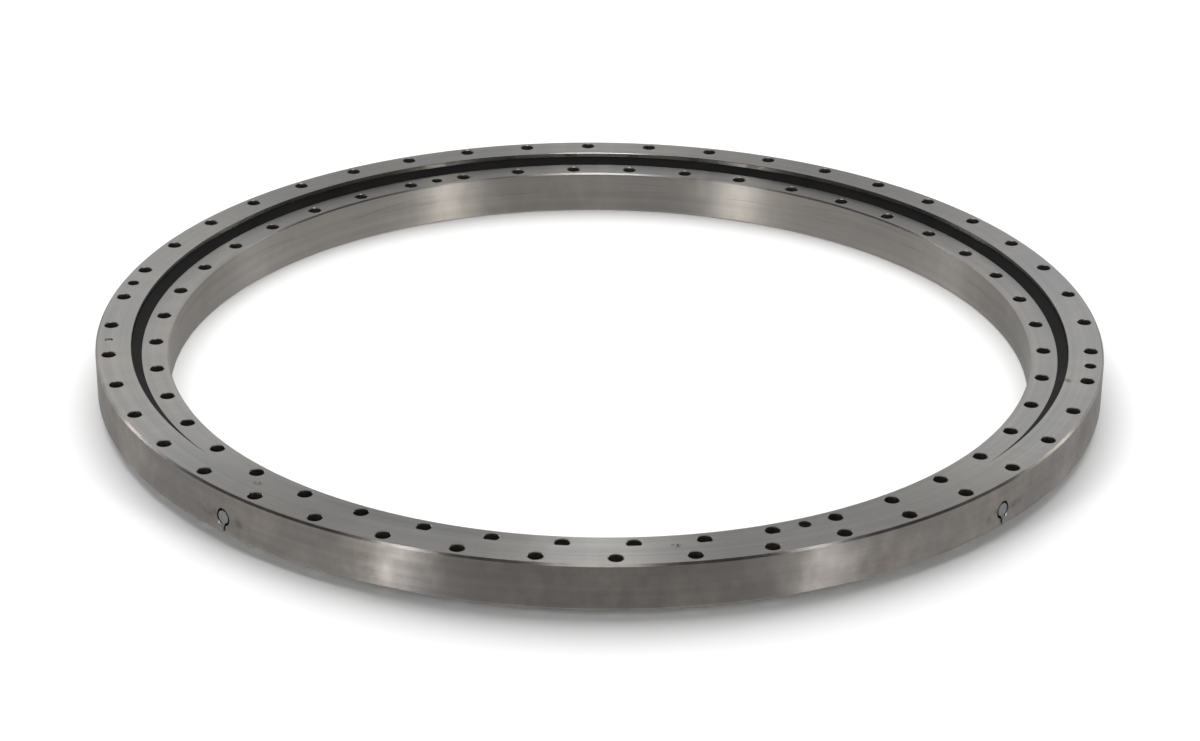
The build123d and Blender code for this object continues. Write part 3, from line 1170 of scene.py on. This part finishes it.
@dataclass
class LipSeal:
    """Extruded rubber seal, laid round its ring and cut to length: its ends meet at a butt joint.

    side is 1 for the upper seal, held in the inner ring, and -1 for the lower one.
    """

    section: Section
    name: str
    side: int
    joint_angle: float
    fit: float = 0.08 * MM
    set_back: float = 0.5 * MM
    lip_drop: float = 4.5 * MM
    lip_thickness: float = 1.2 * MM
    lip_root: float = 3.0 * MM
    lip_clearance: float = 0.3 * MM
    rib_height: float = 0.22 * MM
    joint_gap: float = 0.25 * MM
    edge_radius: float = 0.35 * MM
    steps: int = 704

    def outline(self) -> np.ndarray:
        """(n, 2) closed section as (radius, height), with rounded edges and two shallow steps
        across the sloping face, where the lip is thinned."""
        s = self.section
        wall = self.fit - s.land - s.seat_width
        floor = s.short - s.seat_depth + self.fit
        foot = (wall + s.foot_inset, wall + s.foot_inset + s.foot_width - 2 * self.fit)
        back = -s.land - self.set_back
        edge = s.land - self.lip_clearance
        top = s.tall - self.lip_drop
        slope_start, slope_end = np.array([wall, s.short]), np.array([edge, top])
        groove = slope_start + (slope_end - slope_start) * np.array([[0.80], [0.76], [0.72]])
        groove[1, 1] -= self.rib_height
        corners = np.array(
            [
                (wall, floor),
                (foot[0], floor),
                (foot[0], floor - s.foot_depth + self.fit),
                (foot[1], floor - s.foot_depth + self.fit),
                (foot[1], floor),
                (back, floor),
                (back, floor + self.lip_root),
                (edge, top - self.lip_thickness),
                (edge, top),
                *groove,
                (wall, s.short),
            ]
        )
        rounded = round_corners(corners, self.edge_radius)
        return np.array([s.ball_circle, s.ball_height]) + self.side * rounded

    def make(self, material: Material) -> Object:
        """Builds the seal as an outline carried round the axis, closed at both ends.

        Args:
            material: Its rubber.

        Returns:
            The seal's object.
        """
        outline = self.outline()
        half_gap = self.joint_gap / 2 / self.section.ball_circle
        angles = self.joint_angle + np.linspace(half_gap, 2 * math.pi - half_gap, self.steps + 1)
        shell = Shell()
        shell.grid(lathe(np.vstack([outline, outline[:1]]), angles))
        made = shell.make(self.name, [material])
        bm = bmesh.new()
        bm.from_mesh(made.data)
        rims = [e for e in bm.edges if e.is_boundary]
        ends = bmesh.ops.holes_fill(bm, edges=rims, sides=0)["faces"]
        bmesh.ops.triangulate(bm, faces=ends)
        bmesh.ops.recalc_face_normals(bm, faces=bm.faces)
        bm.to_mesh(made.data)
        bm.free()
        made.data.set_sharp_from_angle(angle=SHARP_EDGE)
        return made


@dataclass(frozen=True)
class RadialLathe:
    """Turns a profile about a radial line of the bearing, level with the balls."""

    section: Section
    angle: float
    steps: int = 48

    def grid(self, profile: np.ndarray, shape: object = None) -> np.ndarray:
        """Grid of (distance from the ring's axis, radius) points turned about the line.

        Args:
            profile: (rows, 2) points.
            shape: Function of (radii, directions) that gives each point's radius, or None.

        Returns:
            (rows, steps, 3) points.
        """
        directions = np.arange(self.steps) * 2 * math.pi / self.steps
        radius = profile[:, 1:2] + np.zeros((1, self.steps))
        if shape is not None:
            radius = shape(radius, directions[None, :])
        y, z = radius * np.cos(directions), radius * np.sin(directions)
        x = profile[:, 0:1] + np.zeros_like(y)
        return self.place(x, y, z)

    def place(self, x: np.ndarray, y: np.ndarray, z: np.ndarray) -> np.ndarray:
        """Points at x along the line, y beside it and z above it, in the row frame."""
        return turn(np.stack([x, y, self.section.ball_height + z], -1), np.array(self.angle))


@dataclass
class GreasePort:
    """Nipple in the port's recess, and the push-on cap with a pull tab that covers it."""

    section: Section
    number: int
    angle: float
    seat_depth: float = 12.0 * MM
    hexagon: float = 5.5 * MM
    hexagon_height: float = 4.0 * MM
    shank: float = 4.9 * MM
    shank_length: float = 7.0 * MM
    neck: float = 2.4 * MM
    neck_height: float = 2.2 * MM
    head: float = 3.25 * MM
    head_height: float = 3.4 * MM
    tip: float = 2.2 * MM
    orifice: float = 1.0 * MM
    cap: float = 6.5 * MM
    cap_sink: float = 0.6 * MM
    cap_thickness: float = 1.6 * MM
    cap_edge: float = 0.45 * MM
    skirt_wall: float = 1.2 * MM
    skirt_gap: float = 0.3 * MM
    tab_width: float = 4.0 * MM
    tab_thickness: float = 1.2 * MM
    tab_reach: float = 14.0 * MM
    tab_clearance: float = 0.3 * MM
    mouth: float = 9.5 * MM

    def make_nipple(self, material: Material) -> Object:
        """Builds the nipple: one turned profile, six-sided where the spanner goes. Over that
        stretch the radius is apothem / cos(direction within a side), cut by the corner chamfer.

        Args:
            material: Its plating.

        Returns:
            The nipple's object.
        """
        seat = self.section.outside - self.seat_depth
        hex_top = seat + self.hexagon_height
        neck_top = hex_top + self.neck_height
        end = neck_top + self.head_height
        corner = self.hexagon / math.cos(math.pi / 6)
        bevel = 0.5 * MM
        middle = (neck_top + self.head_height / 3, 0.0)
        profile = np.array(
            [
                (seat - self.shank_length, 0),
                (seat - self.shank_length, self.shank - bevel),
                (seat - self.shank_length + bevel, self.shank),
                (seat, self.shank),
                (seat, self.hexagon - 0.1 * MM),
                (seat + bevel, corner),
                (hex_top - bevel, corner),
                (hex_top, self.hexagon - 0.1 * MM),
                (hex_top, self.neck + bevel),
                (hex_top + bevel, self.neck),
                (neck_top - bevel, self.neck),
                *arc(middle, self.head, math.radians(140), math.radians(60), 8),
                (end, self.tip),
                (end, self.orifice),
                (end - 2 * self.orifice, self.orifice),
                (end - 2.5 * self.orifice, 0),
            ]
        )

        def six_sided(radius: np.ndarray, directions: np.ndarray) -> np.ndarray:
            side = (directions % (math.pi / 3)) - math.pi / 6
            cut = np.where(radius > self.shank, self.hexagon / np.cos(side), radius)
            return np.minimum(radius, cut)

        shell = Shell()
        shell.grid(RadialLathe(self.section, self.angle).grid(profile, six_sided), closed=True)
        return shell.make(f"grease_nipple_fitted_{self.number}", [material])

    def make_cap(self, material: Material) -> Object:
        """Builds the cap: a turned disc with a skirt, and a tab whose rounded-bar section is
        carried along a path over the recess's edge.

        Args:
            material: Its plastic.

        Returns:
            The cap's object.
        """
        face = self.section.outside - self.cap_sink
        roof = face - self.cap_thickness
        skirt_end = self.section.outside - self.seat_depth + self.hexagon_height + self.neck_height
        inner = self.head + self.skirt_gap
        edge = (face - self.cap_edge, self.cap - self.cap_edge)
        profile = np.array(
            [
                (roof, 0),
                (roof, inner),
                (skirt_end, inner),
                (skirt_end, inner + self.skirt_wall),
                (roof, inner + self.skirt_wall),
                (roof, self.cap - self.cap_edge / 2),
                (roof + self.cap_edge / 2, self.cap),
                *arc(edge, self.cap_edge, math.pi / 2, 0, 4),
                (face - 0.12 * MM, self.cap * 0.55),
                (face - 0.12 * MM, 0),
            ]
        )
        lathe_frame = RadialLathe(self.section, self.angle)
        shell = Shell()
        shell.grid(lathe_frame.grid(profile), closed=True)
        self.add_tab(shell, lathe_frame, face)
        return shell.make(f"nipple_cap_fitted_{self.number}", [material])

    def add_tab(self, shell: Shell, frame: RadialLathe, face: float) -> None:
        """Adds the pull tab: a superellipse section |a|^4 + |b|^4 = 1 along a smooth path.

        Args:
            shell: The shell that takes it.
            frame: The port's radial frame.
            face: Where the cap's face lies along the port's axis.
        """
        half = self.tab_thickness / 2
        inside = face - half
        proud = self.section.outside + self.tab_clearance + half
        s = np.linspace(0, 1, 25)
        reach = (self.cap - 1.2 * MM) + s * (self.tab_reach - self.cap + 1.2 * MM)
        rise = np.clip((reach - self.cap * 0.95) / (self.mouth - self.cap * 0.95), 0, 1)
        x = inside + (proud - inside) * rise**2 * (3 - 2 * rise)
        taper = np.sqrt(np.clip(1 - ((s - 0.9) / 0.1).clip(0, 1) ** 2, 0.0, 1))
        around = np.linspace(0, 2 * math.pi, 24, endpoint=False)
        a = np.sign(np.cos(around)) * np.abs(np.cos(around)) ** 0.5
        b = np.sign(np.sin(around)) * np.abs(np.sin(around)) ** 0.5
        width = (self.tab_width / 2 * taper)[:, None] * a
        depth = x[:, None] + (half * np.maximum(taper, 0.0))[:, None] * b
        grid = frame.place(depth, width, -reach[:, None] + np.zeros_like(width))
        start = np.broadcast_to(grid[:1].mean(1, keepdims=True), grid[:1].shape)
        shell.grid(np.concatenate([start, grid]), closed=True)


@dataclass
class FillingPlug:
    """Plug in the filling hole, flush with the rim, and the taper pin that locks it."""

    section: Section
    angle: float
    radius: float = 10.5 * MM
    edge: float = 0.15 * MM
    puller: float = 3.4 * MM
    puller_mouth: float = 0.6 * MM
    puller_depth: float = 7.0 * MM
    pin: float = 4.0 * MM
    pin_taper: float = 0.02
    pin_recess: float = 1.5 * MM
    pin_length: float = 38.5 * MM
    pin_edge: float = 0.4 * MM

    def make_plug(self, materials: list[Material]) -> Object:
        """Builds the plug. Its outer end follows the rim, x = sqrt(R^2 - y^2), and its inner end
        the land and the raceway.

        Args:
            materials: One for each zone.

        Returns:
            The plug's object.
        """
        s = self.section
        frame = RadialLathe(s, self.angle)
        outside = s.outside
        hole = np.array(
            [
                (outside - self.puller_depth, 0),
                (outside - self.puller_depth, self.puller),
                (outside - self.puller_mouth, self.puller),
                (outside, self.puller + self.puller_mouth),
            ]
        )
        directions = np.arange(frame.steps) * 2 * math.pi / frame.steps
        mouth = self.puller + self.puller_mouth
        radii = np.array([mouth, self.radius * 0.7, self.radius - self.edge, self.radius])
        drop = np.array([0.0, 0.0, 0.0, self.edge])
        y, z = radii[:, None] * np.cos(directions), radii[:, None] * np.sin(directions)
        end = frame.place(np.sqrt(outside**2 - y**2) - drop[:, None], y, z)
        inner = np.linspace(self.radius, 0, 13)
        y_in, z_in = inner[:, None] * np.cos(directions), inner[:, None] * np.sin(directions)
        shift = s.raceway_shift
        groove_radius = s.ball + s.raceway_opening
        reach = np.sqrt(np.clip(groove_radius**2 - (np.abs(z_in) + shift) ** 2, 0, None)) - shift
        depth = s.ball_circle + np.maximum(reach, s.land)
        track = frame.place(np.sqrt(depth**2 - y_in**2), y_in, z_in)
        shell = Shell()
        shell.grid(frame.grid(hole)[:3], closed=True, zone=Zone.DRILLED.value)
        shell.grid(np.stack([frame.grid(hole)[2], end[0]]), closed=True, zone=Zone.DRILLED.value)
        shell.grid(end, closed=True, zone=Zone.WALL.value)
        shell.grid(np.stack([end[-1], track[0]]), closed=True, zone=Zone.WALL.value)
        shell.grid(track, closed=True, zone=Zone.RACEWAY.value)
        return shell.make("filling_plug_turned", materials)

    def make_pin(self, material: Material) -> Object:
        """Builds the taper pin: a turned profile with a slightly domed end.

        Args:
            material: Its steel.

        Returns:
            The pin's object.
        """
        s = self.section
        top = s.ball_height + s.tall - self.pin_recess
        tip = self.pin - self.pin_length * self.pin_taper / 2
        profile = np.array(
            [
                (0, top),
                (self.pin * 0.5, top - 0.02 * MM),
                (self.pin - self.pin_edge, top - 0.08 * MM),
                (self.pin - 0.05 * MM, top - self.pin_edge),
                (tip, top - self.pin_length + self.pin_edge),
                (tip - self.pin_edge, top - self.pin_length),
                (0, top - self.pin_length),
            ]
        )
        around = np.arange(32) * 2 * math.pi / 32
        local = lathe(profile, around)
        local[..., 0] += s.ball_circle + s.bolt_offset
        shell = Shell()
        shell.grid(turn(local, np.array(self.angle)), closed=True)
        return shell.make("taper_pin_end", [material])


# ----------------------------------------------------------------------------- the studio


@dataclass(frozen=True)
class Softbox:
    """A flat lamp that stands on a circle round the bearing and faces it."""

    name: str
    azimuth: float
    elevation: float
    distance: float
    width: float
    height: float
    power: float
    glossy: bool = True
    diffuse: bool = True

    def make(self, target: Vector) -> None:
        """Builds the lamp.

        Args:
            target: What it faces.
        """
        lamp = bpy.data.lights.new(self.name, "AREA")
        lamp.shape = "RECTANGLE"
        lamp.size, lamp.size_y = self.width, self.height
        lamp.energy = self.power
        holder = bpy.data.objects.new(self.name, lamp)
        bpy.context.scene.collection.objects.link(holder)
        a, e = math.radians(self.azimuth), math.radians(self.elevation)
        away = Vector((math.cos(a) * math.cos(e), math.sin(a) * math.cos(e), math.sin(e)))
        holder.location = target + away * self.distance
        holder.rotation_euler = away.to_track_quat("Z", "Y").to_euler()
        holder.visible_camera = False
        holder.visible_glossy = self.glossy
        holder.visible_diffuse = self.diffuse


@dataclass
class Studio:
    """Pale floor, soft lamps, surroundings and the camera."""

    target: Vector = field(default_factory=lambda: Vector((0.0005, -0.1115, 0.056)))
    camera_place: Vector = field(default_factory=lambda: Vector((0.0005, -2.944, 1.400)))
    roll: float = 0.0106
    lens: float = 95.43
    floor_radius: float = 14.0
    floor_drop: float = 0.2 * MM
    floor_tones: tuple[float, float] = (0.9, 0.93)
    backdrop: float = 0.8
    dim: float = 0.09
    ground: tuple[float, float] = (0.38, 0.68)
    ground_behind: float = 0.55
    lamps: tuple[Softbox, ...] = (
        Softbox("strip_left", 229.6, 20.0, 3.6, 0.48, 2.4, 34.0),
        Softbox("strip_right", 316.0, 20.0, 3.6, 0.42, 2.4, 29.0),
        Softbox("strip_far_right", 24.0, 20.0, 3.8, 0.2, 2.2, 10.0),
        Softbox("strip_far_left", 156.0, 20.0, 3.8, 0.2, 2.2, 10.0),
        Softbox("overhead", 271.0, 84.0, 3.0, 0.62, 1.2, 24.0, diffuse=False),
        Softbox("fill", 96.0, 66.0, 4.6, 6.0, 6.0, 330.0, glossy=False),
    )

    def make_camera(self) -> None:
        """Builds the camera from its place, its target and a small roll about its line of sight."""
        ahead = (self.target - self.camera_place).normalized()
        level = ahead.cross(Vector((0, 0, 1))).normalized()
        above = level.cross(ahead)
        right = math.cos(self.roll) * level + math.sin(self.roll) * above
        up = right.cross(ahead)
        turned = Matrix((right, up, -ahead)).transposed().to_4x4()
        lens = bpy.data.cameras.new("camera")
        lens.lens, lens.sensor_width = self.lens, 36.0
        lens.clip_start, lens.clip_end = 0.05, 60.0
        camera = bpy.data.objects.new("camera", lens)
        camera.matrix_world = Matrix.Translation(self.camera_place) @ turned
        bpy.context.scene.collection.objects.link(camera)
        bpy.context.scene.camera = camera

    def make_floor(self) -> None:
        """Builds the round floor as rings of points about the axis."""
        radii = np.array([0.0, 1.0, 3.0, self.floor_radius])
        profile = np.stack([radii, np.full_like(radii, -self.floor_drop)], -1)
        shell = Shell()
        shell.grid(lathe(profile, np.arange(96) * 2 * math.pi / 96), closed=True)
        g = Graph("pale_floor")
        cloud = g.noise(g.place(), 1.5, 2.0)
        tones = (opaque((tone,) * 3) for tone in self.floor_tones)
        g.give("Base Color", g.blend(g.spread(cloud, 0.3, 0.7), *tones))
        g.give("Roughness", 0.9)
        g.give("Specular IOR Level", 0.1)
        floor = shell.make("floor", [g.material])
        floor.visible_glossy = False

    def make_surroundings(self) -> None:
        """Surroundings: a white backdrop stands behind the bearing, up to a third of the sky's
        height, and the rest is dim. With d the direction of a ray, the brightness above the
        horizon is dim + (white - dim) x step(d along +Y) x step(d along +Z)."""
        world = bpy.data.worlds.new("surroundings")
        world.use_nodes = True
        bpy.context.scene.world = world
        n = Nodes(world.node_tree)
        output, background = n.node("ShaderNodeOutputWorld"), n.node("ShaderNodeBackground")
        split = n.node("ShaderNodeSeparateXYZ")
        n.feed(split.inputs[0], n.node("ShaderNodeTexCoord").outputs["Generated"])
        _, behind, above = split.outputs
        share = n.times(n.spread(behind, 0.3, 0.6), n.spread(above, 0.62, 0.78, 1.0, 0.0))
        sky = n.math("MULTIPLY_ADD", share, self.backdrop - self.dim, self.dim)
        ground = n.spread(above, -0.03, 0.0, 1.0, 0.0)
        lit = n.spread(behind, -0.85, -0.55, *self.ground)
        below = n.times(lit, n.spread(behind, 0.15, 0.7, 1.0, self.ground_behind))
        level = n.math("MULTIPLY_ADD", ground, n.minus(below, sky), sky)
        n.feed(background.inputs["Color"], n.xyz(level, level, level))
        n.tree.links.new(background.outputs[0], output.inputs["Surface"])

    def make(self) -> None:
        """Builds everything that isn't part of the bearing."""
        bpy.context.scene.view_settings.view_transform = "Standard"
        self.make_camera()
        self.make_floor()
        self.make_surroundings()
        for lamp in self.lamps:
            lamp.make(Vector((0, 0, 0.03)))


# ----------------------------------------------------------------------------- assembly


@dataclass
class Bearing:
    """The whole bearing: which piece stands for which node, its body and its finish."""

    section: Section
    nodes: dict[str, Object]
    outer_phase: float = math.radians(1.87)
    inner_phase: float = math.radians(4.14)
    port_offset: float = math.radians(45.6)
    ports: tuple[int, ...] = (1, 2, 3, 4)
    plug_step: float = 22.5
    seal_joint: float = math.radians(144.0)
    nick_degrees: tuple[float, ...] = (229.1, 278.4, 345.0)

    def on_face(self, degrees: float, inset: float = 2.2 * MM) -> tuple[float, float, float]:
        """A point of the outer ring's upper face, just outside its seal."""
        s = self.section
        angle = math.radians(degrees)
        radius = s.ball_circle + s.land + inset
        return radius * math.cos(angle), radius * math.sin(angle), s.ball_height + s.tall

    def finishes(self) -> dict[str, list[Material]]:
        """Builds every material, by the kind of piece that takes it."""
        drilled = PlainSteel("drilled_steel", (0.3, 0.285, 0.27), 0.38, 700.0).make()
        # Tapped holes' walls: the near-black colour is painted shade inside the deep threaded
        # holes, not the steel's own colour.
        tapped = PlainSteel("tapped_steel_painted_shade", (0.06, 0.057, 0.054), 0.5, 700.0).make()
        raceway = TurnedSteel(
            "raceway_steel", (0.52, 0.51, 0.5), 0.22, 0.6, 0.3 * MM, 0.001 * MM, 0.04, 0.0
        ).make()
        land = TurnedSteel(
            "land_steel", (0.28, 0.268, 0.255), 0.2, 0.9, 0.8 * MM, stain=0.06, hairlines=0.0
        ).make()
        nicks = tuple(self.on_face(degrees) for degrees in self.nick_degrees)
        face = TurnedSteel(
            "faced_steel", (0.42, 0.415, 0.406), groove_pitch=0.7 * MM, nicks=nicks
        ).make()
        outside = TurnedSteel(
            "outside_steel", (0.385, 0.36, 0.34), 0.3, 1.0, 1.2 * MM, stain=0.24, hairlines=0.0,
            port_angle=self.port_angle(1), port_height=self.section.ball_height,
        ).make()
        bore = TurnedSteel(
            "bore_steel", (0.46, 0.435, 0.407), 0.37, 0.95, 1.2 * MM, hairlines=0.0,
            tool_lines=(26.0 * MM, 33.0 * MM),
        ).make()
        rubber = Polymer("seal_rubber", (0.004, 0.004, 0.004), (0.007, 0.007, 0.0068), 0.6, 0.12)
        plastic = Polymer("cap_plastic", (0.17, 0.175, 0.182), (0.21, 0.214, 0.22), 0.4, 0.4)
        cage = Polymer("spacer_plastic", (0.72, 0.69, 0.6), (0.66, 0.62, 0.5), 0.45)
        return {
            "outer": [face, outside, raceway, drilled, land, tapped],
            "inner": [face, bore, raceway, drilled, land, tapped],
            "seal": [rubber.make()],
            "pin": [PlainSteel("ground_pin_steel", (0.62, 0.62, 0.61), 0.25, 1500.0).make()],
            "nipple": [PlainSteel("zinc_plated_steel", (0.58, 0.57, 0.52), 0.3, 1200.0).make()],
            "cap": [plastic.make()],
            "ball": [PlainSteel("ball_steel", (0.66, 0.66, 0.66), 0.12, 400.0, 0.04).make()],
            "spacer": [cage.make()],
        }

    def stand_in(self, made: Object, node: str, body: str) -> None:
        """Puts a new piece in a node's place.

        Args:
            made: The piece.
            node: The node that it replaces.
            body: The body that carries it.
        """
        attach(made, body)
        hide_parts(node)
        LOG.info("%s stands for %s on %s", made.name, node, body)

    def port_angle(self, number: int) -> float:
        """Angle of one of the four grease ports, a quarter turn apart, counted from 1."""
        return self.outer_phase + self.port_offset + (number - 1) * math.pi / 2

    def make_rings(self, outer_zones: list[Material], inner_zones: list[Material]) -> None:
        """Builds both rings.

        Args:
            outer_zones: The outer ring's materials.
            inner_zones: The inner ring's materials.
        """
        s = self.section
        pitch = 2 * math.pi / s.count
        ports = tuple(self.port_angle(number) for number in self.ports)
        outer = Ring(
            s, "outer_ring_turned", 1, s.outside - s.ball_circle, 2.0 * MM, self.outer_phase,
            {20.5: Place.LIFTING, 42.5: Place.LIFTING, self.plug_step: Place.PIN},
            ports, self.outer_phase + self.plug_step * pitch,
        )
        inner = Ring(
            s, "inner_ring_turned", -1, s.ball_circle - s.bore, 1.5 * MM, self.inner_phase,
            {13.5: Place.LIFTING, 35.5: Place.LIFTING},
        )
        self.stand_in(outer.make(outer_zones), "outer_ring", "outer")
        self.stand_in(inner.make(inner_zones), "inner_ring", "inner")

    def make_seals(self, rubber: Material) -> None:
        """Builds both seals.

        Args:
            rubber: Their material.
        """
        upper = LipSeal(self.section, "upper_seal_fitted", 1, self.seal_joint)
        lower = LipSeal(self.section, "lower_seal_fitted", -1, self.seal_joint + math.pi / 3)
        self.stand_in(upper.make(rubber), "upper_seal", "inner")
        self.stand_in(lower.make(rubber), "lower_seal", "outer")

    def make_ports(self, nipple: Material, cap: Material) -> None:
        """Builds every port's nipple and cap.

        Args:
            nipple: The nipples' material.
            cap: The caps' material.
        """
        for number in self.ports:
            port = GreasePort(self.section, number, self.port_angle(number))
            fitting, cover = f"grease_nipple_{number}", f"nipple_cap_{number}"
            self.stand_in(port.make_nipple(nipple), fitting, "outer")
            self.stand_in(port.make_cap(cap), cover, cover)

    def make_plug(self, zones: list[Material], pin: Material) -> None:
        """Builds the filling plug and its pin.

        Args:
            zones: The plug's materials.
            pin: The pin's material.
        """
        angle = self.outer_phase + self.plug_step * 2 * math.pi / self.section.count
        plug = FillingPlug(self.section, angle)
        self.stand_in(plug.make_plug(zones), "filling_plug", "outer")
        self.stand_in(plug.make_pin(pin), "filling_plug_pin", "outer")

    def dress_rolling_set(self, ball: Material, spacer: Material) -> None:
        """Gives the balls and spacers their finishes. Their shapes stay as packed.

        Args:
            ball: The balls' material.
            spacer: The spacers' material.
        """
        for name, node in self.nodes.items():
            chosen = {"ball": ball, "spac": spacer}.get(name[:4])
            if chosen is not None:
                node.data.materials.clear()
                node.data.materials.append(chosen)
        LOG.info("balls and spacers dressed")

    def make(self) -> None:
        """Builds every sub-assembly in order."""
        finish = self.finishes()
        self.make_rings(finish["outer"], finish["inner"])
        self.make_seals(finish["seal"][0])
        self.make_ports(finish["nipple"][0], finish["cap"][0])
        self.make_plug(finish["outer"], finish["pin"][0])
        self.dress_rolling_set(finish["ball"][0], finish["spacer"][0])


def main() -> None:
    """Loads the frame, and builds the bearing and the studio."""
    logging.basicConfig(level=logging.INFO, format="%(message)s")
    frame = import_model()
    Studio().make()
    Bearing(Section.read(frame["record"]), frame["nodes"]).make()


if __name__ == "__main__":
    main()
